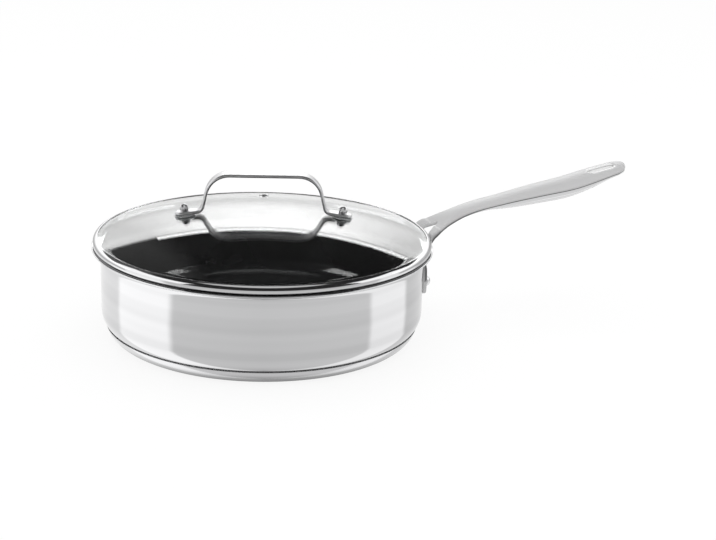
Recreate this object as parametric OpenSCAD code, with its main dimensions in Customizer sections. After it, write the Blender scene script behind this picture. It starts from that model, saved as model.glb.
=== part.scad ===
// Saute pan with a glass lid. Millimetres, +Z up.
// The origin is the centre of the underside of the base, and +X runs along the long handle.

/* [Pan body] */
// Outside diameter of the straight wall
wall_d = 256; // [180:1:320]
// Height from the table to the top of the pouring lip
pan_h = 73.2; // [66:0.5:120]
// Thickness of the stainless wall and floor
wall_t = 1.2; // [0.8:0.1:2]
// Outside radius of the corner between floor and wall
corner_r = 16; // [10:0.5:22]
// How far the flared lip reaches out from the wall
lip_reach = 7; // [5:0.5:10]
// Thickness of the non-stick lining
lining_t = 0.3; // [0.2:0.05:0.5]

/* [Base] */
// Height of the underside of the pan floor above the table
floor_z = 6.2; // [5:0.1:9]
// Sheet thickness of the steel base cap
cap_t = 0.7; // [0.5:0.1:1]
// Height of the seam where the base cap meets the wall
cap_h = 11.8; // [9:0.1:14]
// Radius of the round edge of the base cap
base_round = 14; // [12:0.5:18]

/* [Long handle] */
// Length of the handle beyond the lip
grip_len = 179.5; // [140:0.5:230]
// Rise of the handle tip above the lip
grip_rise = 50.9; // [20:0.1:80]
// Greatest width of the grip
grip_w = 36; // [28:0.2:46]
// Width of the narrow neck behind the fork
neck_w = 24.4; // [20:0.2:30]
// Width over the two fork arms where they pass the lip
fork_w = 40.8; // [34:0.2:48]
// Width of the gap between the fork arms at the lip
fork_gap_w = 24.4; // [16:0.2:28]
// Distance from the lip to the closed end of the fork gap
fork_gap_len = 12.4; // [8:0.2:18]
// Thickness of the fork arms and the wall flange
arm_t = 3.4; // [2.6:0.1:4.5]
// Thickness of the top plate along the grip
plate_t = 2; // [1.4:0.1:3]
// Greatest depth of the hollow belly under the top plate
belly_h = 10.6; // [5:0.2:13]
// Sheet thickness of the belly
belly_t = 1.2; // [0.8:0.1:1.6]
// How far the belly's edge stays inside the top plate's edge
belly_inset = 0.8; // [0.4:0.1:1.5]
// Length of the hanging slot
slot_len = 23; // [18:0.5:32]
// Width of the hanging slot
slot_w = 9.6; // [6:0.2:11]
// Distance from the handle tip to the middle of the hanging slot
slot_setback = 20.5; // [19:0.5:32]

/* [Flange and rivets] */
// Half the angle that the flange covers round the wall
flange_half = 19; // [17:0.5:24]
// Height of the flange
flange_h = 23.2; // [20:0.2:34]
// Distance of the flange's shoulders below the lip
flange_drop = 17; // [16:0.2:26]
// Half the angle between the two rivets
rivet_half = 16; // [11:0.5:17]
// Distance of the rivets below the lip
rivet_drop = 29.2; // [28:0.2:36]
// Diameter of the rivet shank
rivet_d = 5; // [4:0.1:6]
// Diameter of the domed outer rivet head
rivet_head_d = 8.6; // [7:0.1:11]
// Height of the domed outer rivet head
rivet_head_h = 3; // [2:0.1:4]
// Diameter of the flat inner rivet head
rivet_flat_d = 9.6; // [8:0.1:12]
// Height of the flat inner rivet head
rivet_flat_h = 1.4; // [1:0.1:2]

/* [Lid glass] */
// Height of the glass dome above its own edge
dome_h = 20.4; // [14:0.2:32]
// Thickness of the glass
glass_t = 3.4; // [3:0.1:4.5]
// Angle from the long handle to the lid handle
lid_turn = -15; // [-180:1:180]
// Distance of the steam vent from the lid centre
vent_r = 66; // [50:1:90]
// Diameter of the hole through the vent eyelet
vent_bore_d = 4.4; // [3:0.1:6]
// Diameter of the vent eyelet's flanges
vent_flange_d = 8.2; // [8:0.1:12]
// Wall thickness of the vent eyelet
vent_wall = 0.7; // [0.5:0.1:0.9]

/* [Lid band] */
// How far the band stays inside the outer edge of the lip
band_inset = 1; // [0.5:0.1:3]
// Sheet thickness of the band
band_t = 0.6; // [0.4:0.1:0.8]
// Gap between the glass's edge and the band
glass_clear = 0.2; // [0.1:0.05:0.5]
// Gap between the lip's top and the lower edge of the band
band_gap = 1.9; // [1.4:0.1:3]
// Width of the fold that laps over the glass
band_lap = 2.5; // [2:0.5:9]
// Depth of the skirt that reaches into the pan
skirt_h = 6; // [4:0.5:10]
// Gap between the skirt and the lining
skirt_gap = 0.8; // [0.5:0.1:1.5]
// Gap between the resting ring and the lining
seat_gap = 0.35; // [0.3:0.05:0.6]

/* [Lid handle] */
// Distance of each lid screw from the lid centre
screw_r = 62; // [50:0.5:75]
// Height of the top of the grip above the top of the dome
loop_h = 30.8; // [24:0.2:45]
// Thickness of the strap
strap_t = 2.5; // [2:0.1:3.5]
// Width of the strap at the grip
strap_w = 15.6; // [13:0.2:20]
// Width of the strap at its feet
strap_foot_w = 12; // [10:0.2:13]
// How far the feet reach past the screws
foot_reach = 6.5; // [6:0.1:8]
// Radius of the bends at the top of the legs
bend_r = 19; // [8:0.5:22]
// Radius of the bends at the feet
knee_r = 6; // [3:0.5:8]
// Distance of the foot bend from the screw
knee_back = 13.6; // [12:0.2:16]
// How far each leg leans in from its foot to the grip
leg_lean = 7; // [0:0.2:10]

/* [Lid fasteners] */
// Diameter of the lid screws
screw_d = 4; // [3:0.1:5]
// Diameter of the cap nuts
nut_d = 6.6; // [6:0.1:9]
// Height of the cap nuts
nut_h = 5.6; // [4.5:0.1:8]
// Diameter of the gaskets and washers
washer_d = 16.5; // [14:0.5:20]
// Thickness of the soft gaskets
gasket_t = 1; // [0.6:0.1:1.6]
// Thickness of the steel washers
washer_t = 0.8; // [0.5:0.1:1.2]
// Diameter of the screw heads
head_d = 8; // [7:0.1:10]
// Height of the screw heads
head_h = 2.2; // [1.6:0.1:3]
// Clearance round each screw in the glass
screw_clear = 0.5; // [0.3:0.05:0.8]

/* [Hidden] */
$fn = 96;
// A cut runs this far past the face it leaves
over = 1;

// Pan
wall_r = wall_d / 2;
lip_edge_r = wall_t / 2;
lip_r = wall_r + lip_reach;
flare_r = lip_reach - lip_edge_r;
flare_x = wall_r + flare_r;
flare_z = pan_h - flare_r - wall_t;
seam_r = wall_r - corner_r + sqrt(pow(corner_r, 2) - pow(floor_z + corner_r - cap_h, 2)) + cap_t;
foot_r = seam_r - sqrt(pow(base_round, 2) - pow(base_round - cap_h, 2));
cavity_r = wall_r - wall_t - lining_t;
skin_t = wall_t + lining_t;

// Long handle. Each outline is a list of [share of the length, share of the size].
tip_x = lip_r + grip_len;
rise_line = [[0.016, 0.065], [0.112, 0.248], [0.225, 0.409], [0.393, 0.535], [0.561, 0.658],
             [0.724, 0.765], [0.877, 0.902], [0.958, 0.974], [1, 1]];
fork_share = 0.016;
neck_share = 0.167;
grip_share = 0.7;
shoulder_share = 0.875;
shoulder_w = 0.922;
tip_share = 0.919;
tip_w = 0.867;
width_line = [[fork_share, fork_w / 2], [0.087, fork_w * 0.19 + neck_w * 0.3],
              [neck_share, neck_w / 2], [0.275, neck_w * 0.466 + grip_w * 0.034],
              [0.407, neck_w * 0.397 + grip_w * 0.103], [0.535, neck_w * 0.19 + grip_w * 0.31],
              [grip_share, grip_w / 2], [0.808, 0.489 * grip_w],
              [shoulder_share, shoulder_w * grip_w / 2], [tip_share, tip_w * grip_w / 2]];
belly_line = [[0.17, 0.02], [0.26, 0.2], [0.42, 0.72], [0.56, 0.94], [0.67, 1], [0.8, 0.86],
              [0.88, 0.55], [0.94, 0.3], [1, 0.18]];
belly_start = 0.19;
belly_end = 0.985;
thin_from = 0.1;
thin_to = 0.3;
flange_r = wall_r + arm_t;
flange_z1 = pan_h - flange_drop;
flange_z0 = flange_z1 - flange_h;
rivet_z = pan_h - rivet_drop;
arm_clear = 0.7;
slot_x = tip_x - slot_setback;

// Lid
band_r = lip_r - band_inset;
band_z = pan_h + band_gap;
glass_r = band_r - band_t - glass_clear;
glass_edge_z = band_z + band_t + glass_t;
dome_r = (glass_r * glass_r + dome_h * dome_h) / (2 * dome_h);
dome_z = glass_edge_z + dome_h;
dome_cz = dome_z - dome_r;
skirt_r = cavity_r - skirt_gap;
seat_r = flare_x - lip_reach / 2;
seat_z = flare_z + sqrt(pow(flare_r + skin_t, 2) - pow(flare_x - seat_r, 2)) + seat_gap;
screw_tilt = asin(screw_r / dome_r);
strap_z0 = gasket_t;
under_z = -glass_t - washer_d * washer_d / 8 / (dome_r - glass_t);
strap_z1 = strap_z0 + strap_t;
loop_z = dome_z + loop_h - strap_t / 2;

// Slope through a list's point number i, from its two neighbours
function slope(p, i) =
    let (a = max(i - 1, 0), b = min(i + 1, len(p) - 1))
    (p[b][1] - p[a][1]) / (p[b][0] - p[a][0]);

// Smooth curve through the points of p, read at x
function smooth(p, x, i = 0) =
    i < len(p) - 2 && x > p[i + 1][0] ? smooth(p, x, i + 1) :
    let (w = p[i + 1][0] - p[i][0], t = (x - p[i][0]) / w)
    p[i][1] * (1 + 2 * t) * pow(1 - t, 2) + slope(p, i) * w * t * pow(1 - t, 2)
    + p[i + 1][1] * t * t * (3 - 2 * t) + slope(p, i + 1) * w * t * t * (t - 1);

// Long handle at a share u of its length
function grip_x(u) = lip_r + u * grip_len;
function top_z(u) = pan_h + grip_rise * smooth(rise_line, u);
function grip_t(u) =
    let (s = min(max((u - thin_from) / (thin_to - thin_from), 0), 1))
    arm_t + (plate_t - arm_t) * s * s * (3 - 2 * s);
function half_w(u) =
    u <= tip_share ? smooth(width_line, u)
    : tip_w * grip_w / 2 * sqrt(max(1 - pow((u - tip_share) / (1 - tip_share), 2.6), 0));
function belly_d(u) = belly_h * smooth(belly_line, u);

// Points of an arc
function arc(c, r, a0, a1, n) =
    [for (i = [0:n]) let (a = a0 + (a1 - a0) * i / n) [c[0] + r * cos(a), c[1] + r * sin(a)]];

// Centre line with corner number i rounded: the arc's points
function bend(a, b, c, r) =
    let (u = (a - b) / norm(a - b), v = (c - b) / norm(c - b), h = acos(u * v) / 2,
         m = b + (u + v) / norm(u + v) * r / sin(h), a0 = atan2(-v[0], v[1]),
         p = b + u * r / tan(h), q = b + v * r / tan(h),
         s0 = atan2(p[1] - m[1], p[0] - m[0]), s1 = atan2(q[1] - m[1], q[0] - m[0]),
         d = ((s1 - s0 + 540) % 360) - 180)
    arc(m, r, s0, s0 + d, 8);

// Half section of the pan: all that lies inside a face set in by off from the outer face
module pan_section(off, top) {
    square([wall_r - corner_r, flare_z]);
    difference() {
        union() {
            translate([0, floor_z + corner_r])
                square([wall_r - off, flare_z - floor_z - corner_r]);
            translate([0, flare_z])
                square([flare_x, top - flare_z]);
            translate([wall_r - corner_r, floor_z + corner_r])
                circle(r = corner_r - off);
        }
        translate([flare_x, flare_z])
            circle(r = flare_r + off);
    }
}

// Half section of the pan with the flat floor at its own height
module pan_inside(off, top) {
    intersection() {
        pan_section(off, top);
        translate([0, floor_z + off])
            square([2 * wall_r, top]);
    }
}

module pan_shell() {
    color([0.80, 0.80, 0.81])
        difference() {
            union() {
                rotate_extrude()
                    difference() {
                        pan_inside(0, pan_h);
                        pan_inside(wall_t, pan_h + over);
                    }
                rotate_extrude()
                    translate([flare_x, pan_h - lip_edge_r])
                        circle(r = lip_edge_r, $fn = 32);
            }
            rivet_places()
                rivet_bore();
        }
}

module nonstick_lining() {
    color([0.12, 0.12, 0.13])
        difference() {
            rotate_extrude()
                intersection() {
                    difference() {
                        pan_inside(wall_t, pan_h + lining_t);
                        pan_inside(skin_t, pan_h + over);
                    }
                    square([flare_x - lip_edge_r, pan_h + over]);
                }
            rivet_places()
                rivet_bore();
        }
}

// Half section of the base, set in by off from the outer face of its cap
module base_section(off) {
    intersection() {
        union() {
            square([foot_r, cap_h]);
            translate([foot_r, base_round])
                circle(r = base_round - off);
        }
        translate([0, off])
            square([wall_r, cap_h - off]);
    }
}

module heat_core() {
    color([0.70, 0.71, 0.72])
        rotate_extrude()
            difference() {
                base_section(cap_t);
                pan_inside(0, pan_h);
            }
}

module base_cap() {
    color([0.74, 0.74, 0.75])
        rotate_extrude()
            difference() {
                base_section(0);
                base_section(cap_t);
                pan_inside(0, pan_h);
            }
}

// The two rivet positions, with local +X pointing straight out of the wall
module rivet_places() {
    for (side = [-1, 1])
        rotate([0, 0, side * rivet_half])
            translate([0, 0, rivet_z])
                children();
}

module rivet_bore() {
    translate([cavity_r - 2 * over, 0, 0])
        rotate([0, 90, 0])
            cylinder(h = arm_t + skin_t + 4 * over, d = rivet_d);
}

// One rivet: flat head inside, shank, domed head outside
module rivet() {
    sag = pow(rivet_flat_d / 2, 2) / (2 * cavity_r);
    dome = (pow(rivet_head_d / 2, 2) + pow(rivet_head_h, 2)) / (2 * rivet_head_h);
    rotate([0, 90, 0]) {
        translate([0, 0, cavity_r - sag - rivet_flat_h])
            cylinder(h = rivet_flat_h, d = rivet_flat_d);
        translate([0, 0, cavity_r - sag - over / 2])
            cylinder(h = arm_t + skin_t + sag + over, d = rivet_d);
        intersection() {
            translate([0, 0, flange_r + rivet_head_h - dome])
                sphere(r = dome);
            translate([0, 0, flange_r])
                cylinder(h = rivet_head_h + over, d = rivet_head_d);
        }
    }
}

module handle_rivets() {
    color([0.78, 0.78, 0.79])
        rivet_places()
            rivet();
}

// Side outline of the fork arm and grip: up the wall, round the lip, out to the tip and back below
module grip_side() {
    shares = [for (i = [0:48]) fork_share + (1 - fork_share) * i / 48];
    lip_out = lip_r + arm_clear;
    low = flange_z1 - 6;
    polygon(concat(
        [[wall_r, low], [wall_r, flare_z - 4], [wall_r + 1.6, flare_z], [flare_x - 2.4, pan_h - 4.6],
         [lip_out, pan_h - 2.6], [lip_out, pan_h + 0.6]],
        [for (u = shares) [grip_x(u), top_z(u)]],
        [for (i = [len(shares) - 1:-1:2]) [grip_x(shares[i]), top_z(shares[i]) - grip_t(shares[i])]],
        [[lip_out + arm_t + 0.4, pan_h - 0.4], [lip_out + arm_t - 0.8, pan_h - 2.8],
         [flare_x + 0.8, pan_h - 6.4], [flange_r + 1.6, flare_z - 1.8], [flange_r, flare_z - 6],
         [flange_r, low]]));
}

// Plan of the fork and grip
module grip_plan() {
    shares = [for (i = [0:56]) fork_share + (1 - fork_share) * (1 - pow(1 - i / 56, 1.6))];
    upper = concat([[wall_r * cos(flange_half), fork_w / 2 + 1.2], [lip_r - 4, fork_w / 2 + 1.2]],
                   [for (u = shares) if (u > 0.03) [grip_x(u), half_w(u)]]);
    polygon(concat(upper, [for (i = [len(upper) - 2:-1:0]) [upper[i][0], -upper[i][1]]]));
}

// Plan of the gap between the fork arms, closed by a round end
module fork_gap() {
    round_r = 3;
    half = fork_gap_w / 2;
    end_x = lip_r + fork_gap_len - round_r;
    lean = atan2(half - round_r, end_x - lip_r);
    polygon(concat([[0, half], [lip_r - 2, half]], arc([end_x, 0], round_r, 90 - lean, lean - 90, 12),
                   [[lip_r - 2, -half], [0, -half]]));
}

// Front outline of the wall flange: wide and round below, two arms above
module flange_front() {
    side_y = flange_r * sin(flange_half);
    round_r = 9;
    arm_y = fork_w / 2 + 1.2;
    gap_y = fork_gap_w / 2;
    gap_z = flange_z1 - 2.2;
    top = flare_z - 4;
    rest = top - flange_z1;
    half = concat([[0, flange_z0]],
                  arc([side_y - round_r, flange_z0 + round_r], round_r, -90, 0, 8),
                  arc([side_y - round_r, flange_z1 - round_r], round_r, 0, 62, 6),
                  [[arm_y + 3, flange_z1 + 0.3 * rest], [arm_y, flange_z1 + 0.75 * rest], [arm_y, top], [gap_y, top],
                   [gap_y, gap_z + 4]],
                  arc([gap_y - 4, gap_z + 4], 4, 0, -90, 6), [[0, gap_z]]);
    polygon(concat(half, [for (i = [len(half) - 2:-1:1]) [-half[i][0], half[i][1]]]));
}

// Slot through the handle, long way along X
module slot_cut(grow = 0) {
    r = slot_w / 2 + grow;
    run = slot_len - slot_w;
    for (side = [-1, 1])
        translate([slot_x + side * run / 2, 0, pan_h])
            cylinder(h = 2 * grip_rise, r = r);
    translate([slot_x - run / 2, -r, pan_h])
        cube([run, 2 * r, 2 * grip_rise]);
}

module handle_fork() {
    color([0.72, 0.72, 0.73])
        difference() {
            union() {
                intersection() {
                    rotate([0, 0, -flange_half - 1])
                        rotate_extrude(angle = 2 * flange_half + 2)
                            grip_side();
                    linear_extrude(height = pan_h + 2 * grip_rise)
                        difference() {
                            grip_plan();
                            fork_gap();
                        }
                }
                intersection() {
                    rotate_extrude()
                        translate([wall_r, flange_z0 - over])
                            square([arm_t, flare_z - flange_z0]);
                    rotate([90, 0, 90])
                        linear_extrude(height = 2 * wall_r)
                            flange_front();
                }
            }
            rivet_places()
                rivet_bore();
            slot_cut();
        }
}

// Rings of the belly from its neck end to its tip end, with its faces set in by off
function belly_rings(off) =
    [for (i = [0:30])
        let (u0 = belly_start + off / grip_len * 1.5, u1 = belly_end - off / grip_len,
             u = u0 + (u1 - u0) * (1 - pow(1 - i / 30, 1.5)),
             w = max(half_w(u) - belly_inset - off, 0.4),
             z = top_z(u) - grip_t(u) + (off > 0 ? 0.01 : 0),
             d = max(belly_d(u) - off, 0.2))
        [for (j = [0:18]) let (a = 180 * j / 18)
            [grip_x(u), w * cos(a), z - d * pow(sin(a), 0.8)]]];

// Closed solid through a list of rings that all hold the same number of points
module loft(rings) {
    n = len(rings[0]);
    m = len(rings);
    polyhedron(
        points = [for (ring = rings) each ring],
        faces = concat(
            [[for (j = [n - 1:-1:0]) j]],
            [[for (j = [0:n - 1]) (m - 1) * n + j]],
            [for (i = [0:m - 2]) for (j = [0:n - 1])
                let (k = (j + 1) % n) [i * n + j, (i + 1) * n + k, (i + 1) * n + j]],
            [for (i = [0:m - 2]) for (j = [0:n - 1])
                let (k = (j + 1) % n) [i * n + j, i * n + k, (i + 1) * n + k]]));
}

module handle_belly() {
    color([0.80, 0.80, 0.81])
        difference() {
            loft(belly_rings(0));
            difference() {
                loft(belly_rings(belly_t));
                slot_cut(belly_t);
            }
            slot_cut();
        }
}

// Half section of the glass between its lower and upper faces
module glass_section() {
    intersection() {
        difference() {
            translate([0, dome_cz])
                circle(r = dome_r, $fn = 360);
            translate([0, dome_cz])
                circle(r = dome_r - glass_t, $fn = 360);
        }
        translate([0, band_z + band_t])
            square([glass_r, dome_h + 2 * glass_t]);
    }
}

// The two lid screw positions, with local +Z straight out of the glass and z = 0 on its top face
module screw_places() {
    for (side = [0, 180])
        rotate([0, 0, lid_turn + side])
            translate([0, 0, dome_cz])
                rotate([0, screw_tilt, 0])
                    translate([0, 0, dome_r])
                        children();
}

module vent_place() {
    rotate([0, 0, lid_turn + 90])
        translate([0, 0, dome_cz])
            rotate([0, asin(vent_r / dome_r), 0])
                translate([0, 0, dome_r])
                    children();
}

module lid_glass() {
    bore = screw_d + 2 * screw_clear;
    color([0.82, 0.88, 0.87, 0.35])
        difference() {
            rotate_extrude()
                glass_section();
            screw_places()
                translate([0, 0, -glass_t - over])
                    cylinder(h = glass_t + 2 * over, d = bore);
            vent_place()
                translate([0, 0, -glass_t - over])
                    cylinder(h = glass_t + 2 * over, d = vent_bore_d + 2 * vent_wall);
        }
}

// Folded band: over the glass, down, in to the resting ring and down the skirt
module lid_band() {
    lap_r = glass_r - band_lap;
    round_r = 1.6;
    round_x = band_r - round_r;
    round_z = dome_cz + sqrt(pow(dome_r + band_t, 2) - pow(round_x, 2)) - round_r;
    step_r = seat_r + 0.8;
    color([0.78, 0.78, 0.79])
        rotate_extrude() {
            difference() {
                union() {
                    intersection() {
                        translate([0, dome_cz])
                            circle(r = dome_r + band_t, $fn = 360);
                        translate([lap_r, band_z])
                            square([round_x - lap_r, dome_h + glass_t]);
                    }
                    translate([round_x, round_z])
                        circle(r = round_r);
                    translate([round_x, band_z])
                        square([round_r, round_z - band_z]);
                }
                intersection() {
                    translate([0, dome_cz])
                        circle(r = dome_r, $fn = 360);
                    translate([0, band_z + band_t])
                        square([band_r - band_t, dome_h + glass_t]);
                }
                translate([0, band_z - over])
                    square([step_r, band_t + 2 * over]);
            }
            translate([step_r - band_t, seat_z])
                square([band_t, band_z + band_t - seat_z]);
            translate([skirt_r - band_t, seat_z])
                square([step_r - skirt_r + band_t, band_t]);
            translate([skirt_r - band_t, seat_z - skirt_h])
                square([band_t, skirt_h + band_t]);
        }
}

module vent_eyelet() {
    r = vent_bore_d / 2;
    color([0.80, 0.80, 0.81])
        vent_place()
            rotate_extrude($fn = 64)
                union() {
                    translate([r, -glass_t - vent_wall])
                        square([vent_wall, glass_t + 2 * vent_wall]);
                    translate([r, 0.05])
                        square([vent_flange_d / 2 - r, vent_wall]);
                    translate([r, -glass_t - vent_wall - 0.05])
                        square([vent_flange_d / 2 - r, vent_wall]);
                }
}

// Points where the strap's centre line turns, from the outer end of one foot to the middle
function strap_line() =
    let (c = cos(screw_tilt), s = sin(screw_tilt), h = dome_r + strap_z0 + strap_t / 2,
         out = foot_reach + over, x0 = h * s, z0 = dome_cz + h * c,
         knee = [x0 - knee_back * c, z0 + knee_back * s])
    [[x0 + out * c, z0 - out * s], knee, [knee[0] - leg_lean, loop_z], [0, loop_z]];

// Side outline of the strap, from foot to foot
module strap_side() {
    p = strap_line();
    half = concat([p[0]], bend(p[0], p[1], p[2], knee_r), bend(p[1], p[2], p[3], bend_r));
    n = len(half);
    mid = concat(half, [for (i = [n - 1:-1:0]) [-half[i][0], half[i][1]]]);
    dirs = [for (i = [0:2 * n - 1])
        let (d = mid[min(i + 1, 2 * n - 1)] - mid[max(i - 1, 0)]) d / norm(d)];
    side = strap_t / 2 * [for (d = dirs) [d[1], -d[0]]];
    polygon(concat(mid + side, [for (i = [2 * n - 1:-1:0]) mid[i] - side[i]]));
}

// Plan of the strap: wide at the grip, narrower down the legs, round at the feet
module strap_plan() {
    foot_x = (dome_r + strap_z0 + strap_t / 2) * sin(screw_tilt);
    leg_x = strap_line()[1][0];
    end_r = strap_foot_w / 2;
    end_x = foot_x + foot_reach - end_r;
    side = [[0, strap_w / 2], [0.55, strap_w / 2], [0.8, strap_w * 0.3 + strap_foot_w * 0.2],
            [1, strap_foot_w / 2]];
    upper = concat([for (i = [0:16]) [leg_x * i / 16, smooth(side, i / 16)]],
                   arc([end_x, 0], end_r, 90, 0, 10));
    half = concat(upper, [for (i = [len(upper) - 2:-1:0]) [upper[i][0], -upper[i][1]]]);
    polygon(concat(half, [for (i = [1:len(half) - 2]) -half[i]]));
}

module lid_handle() {
    color([0.76, 0.76, 0.77])
        difference() {
            rotate([0, 0, lid_turn])
                intersection() {
                    rotate([90, 0, 0])
                        linear_extrude(height = 2 * strap_w, center = true)
                            strap_side();
                    translate([0, 0, dome_z - dome_h])
                        linear_extrude(height = dome_h + 2 * loop_h)
                            strap_plan();
                }
            screw_places()
                translate([0, 0, -over])
                    cylinder(h = strap_z1 + 2 * over, d = screw_d);
        }
}

// Cap nut: a short cylinder with a domed top and a threaded blind hole
module lid_cap_nuts() {
    dome_t = 1.6;
    ball = (pow(nut_d / 2, 2) + pow(dome_t, 2)) / (2 * dome_t);
    color([0.80, 0.80, 0.81])
        screw_places()
            difference() {
                translate([0, 0, strap_z1])
                    intersection() {
                        cylinder(h = nut_h, d = nut_d, $fn = 64);
                        translate([0, 0, nut_h - ball])
                            sphere(r = ball);
                    }
                translate([0, 0, strap_z1 - over])
                    cylinder(h = nut_h - 1.6 + over, d = screw_d);
            }
}

// A flat ring round each screw, from the height z0
module ring(z0, h, bore) {
    screw_places()
        translate([0, 0, z0])
            difference() {
                cylinder(h = h, d = washer_d);
                translate([0, 0, -over])
                    cylinder(h = h + 2 * over, d = bore);
            }
}

module lid_upper_gaskets() {
    color([0.85, 0.86, 0.86])
        ring(0, gasket_t, screw_d + 0.4);
}

module lid_lower_gaskets() {
    color([0.85, 0.86, 0.86])
        ring(under_z - gasket_t, gasket_t, screw_d + 0.4);
}

module lid_washers() {
    color([0.78, 0.78, 0.79])
        ring(under_z - gasket_t - washer_t, washer_t, screw_d + 0.3);
}

// Screw: rounded head under the washer, shank up into the cap nut
module lid_screws() {
    under = under_z - gasket_t - washer_t;
    ball = (pow(head_d / 2, 2) + pow(head_h, 2)) / (2 * head_h);
    color([0.72, 0.72, 0.73])
        screw_places() {
            translate([0, 0, under - over / 2])
                cylinder(h = strap_z1 + nut_h - 2 - under + over / 2, d = screw_d);
            intersection() {
                translate([0, 0, under - head_h + ball])
                    sphere(r = ball);
                translate([0, 0, under - head_h])
                    cylinder(h = head_h, d = head_d, $fn = 64);
            }
        }
}

pan_shell();
nonstick_lining();
heat_core();
base_cap();
handle_fork();
handle_belly();
handle_rivets();
lid_glass();
lid_band();
vent_eyelet();
lid_handle();
lid_cap_nuts();
lid_upper_gaskets();
lid_lower_gaskets();
lid_washers();
lid_screws();
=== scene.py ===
# %% [markdown]
# # A steel saute pan with a glass lid
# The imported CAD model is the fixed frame: it says where each part sits and how the lid lifts.
# Here every part that shows gets a finer mesh and its own finish. The real pan is mostly
# pressed and turned sheet steel, so almost every mesh starts as a thin outline that is spun
# round the middle, or as a flat strip that is bent. All sizes are written in millimetres.

# %% Load the frame
import math
import bmesh
import bpy
from mathutils import Matrix, Vector


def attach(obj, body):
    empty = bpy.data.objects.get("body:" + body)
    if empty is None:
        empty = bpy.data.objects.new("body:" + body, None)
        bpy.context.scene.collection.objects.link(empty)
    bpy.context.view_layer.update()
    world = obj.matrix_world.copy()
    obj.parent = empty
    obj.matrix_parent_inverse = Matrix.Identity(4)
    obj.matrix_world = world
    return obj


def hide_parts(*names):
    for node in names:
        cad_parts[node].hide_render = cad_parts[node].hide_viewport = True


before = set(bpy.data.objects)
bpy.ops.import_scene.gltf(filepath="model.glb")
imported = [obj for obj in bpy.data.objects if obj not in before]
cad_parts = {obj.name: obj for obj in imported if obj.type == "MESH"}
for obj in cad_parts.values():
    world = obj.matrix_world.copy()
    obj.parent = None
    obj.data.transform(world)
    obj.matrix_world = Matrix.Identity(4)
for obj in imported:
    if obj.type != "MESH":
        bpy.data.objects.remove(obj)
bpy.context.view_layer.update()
MM = 0.001
scene = bpy.context.scene
scene.view_settings.view_transform = "Standard"
print("frame:", len(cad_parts), "nodes")

# %% [markdown]
# ## Camera
# The photograph was taken from a little above the rim, with a long lens that keeps the
# ellipses flat. The camera's place was found by matching the rim, the base and the handle
# tip. The object is turned 15 degrees against the camera, so that its handle lies along X.

# %% Camera
FACING = math.radians(-15)
STAND = Vector((0, -1140.0, 414.6)) * MM
look_down, look_right, roll = math.radians(17.67), math.radians(3.64), math.radians(0.75)
ahead = Vector((0, math.cos(look_down), -math.sin(look_down)))
right = Vector((1, 0, 0))
up = right.cross(ahead)
ahead, right = (ahead * math.cos(look_right) + right * math.sin(look_right),
                right * math.cos(look_right) - ahead * math.sin(look_right))
right, up = right * math.cos(roll) + up * math.sin(roll), up * math.cos(roll) - right * math.sin(roll)
place = Matrix((right, up, -ahead)).transposed().to_4x4()
place.translation = STAND
lens = bpy.data.cameras.new("lens")
lens.sensor_fit, lens.sensor_width, lens.lens = "HORIZONTAL", 36, 75.02
lens.clip_start, lens.clip_end = 0.01, 100
camera = bpy.data.objects.new("camera", lens)
camera.matrix_world = Matrix.Rotation(FACING, 4, "Z") @ place
scene.collection.objects.link(camera)
scene.camera = camera
print("camera at", [round(v, 3) for v in camera.matrix_world.translation])

# %% [markdown]
# ## Shader nodes in one line each
# A finish is a small network of nodes. Adding each node with its numbers and its links in one
# call keeps the networks short enough to read. A value that is a socket becomes a link, and
# any other value is set on the node's own socket.

# %% Helpers for nodes
def feed(tree, node, values):
    for key, value in values.items():
        if isinstance(value, bpy.types.NodeSocket):
            tree.links.new(value, node.inputs[key])
        else:
            node.inputs[key].default_value = value


def put(tree, kind, inputs=None, out=0, **settings):
    """Adds a node and gives one of its outputs."""
    made = tree.nodes.new("ShaderNode" + kind)
    for key, value in settings.items():
        setattr(made, key, value)
    feed(tree, made, inputs or {})
    return made.outputs[out] if len(made.outputs) else made


def blank(name):
    """A new material with its node tree and its Principled shader."""
    made = bpy.data.materials.new(name)
    made.use_nodes = True
    return made, made.node_tree, made.node_tree.nodes["Principled BSDF"]


def colours(tree, factor, first, second):
    return put(tree, "Mix", {0: factor, 6: first, 7: second}, out=2, data_type="RGBA")


# %% [markdown]
# ## Arithmetic with nodes
# A Math node does one step, so three helpers do what is needed again and again: a product of
# several values, a value carried from one range to another, and a curve drawn through points.
# A colour ramp holds no value over 1, so the curve is stored at a quarter of its height.

# %% Helpers for arithmetic
RAMP_TOP = 4


def maths(tree, operation, *values):
    return put(tree, "Math", dict(enumerate(values)), operation=operation)


def times(tree, product, *factors):
    for factor in factors:
        product = maths(tree, "MULTIPLY", product, factor)
    return product


def stretch(tree, value, start, end, low=0.0, high=1.0):
    return put(tree, "MapRange", {"Value": value, "From Min": start, "From Max": end,
                                  "To Min": low, "To Max": high})


def ramp(tree, value, stops, start, end):
    """stops: (place, height), from start to end."""
    made = tree.nodes.new("ShaderNodeValToRGB")
    tree.links.new(stretch(tree, value, start, end), made.inputs[0])
    points = made.color_ramp.elements
    while len(points) < len(stops):
        points.new(0.5)
    for point, (at, height) in zip(points, stops):
        point.position = (at - start) / (end - start)
        point.color = [height / RAMP_TOP] * 3 + [1]
    return times(tree, made.outputs[0], RAMP_TOP)


# %% [markdown]
# ## Studio
# Polished steel shows the room and hardly anything of itself, so the room has to be right.
# The photograph's reflections tell what stood there: a soft light at each side, a bright
# sheet behind that ends in one hard white edge, and darkness overhead. The world is drawn as
# that room for mirror rays. A direction in it is given by two angles in degrees: how far it
# turns from the camera's side, and how far it rises above the level.

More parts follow.
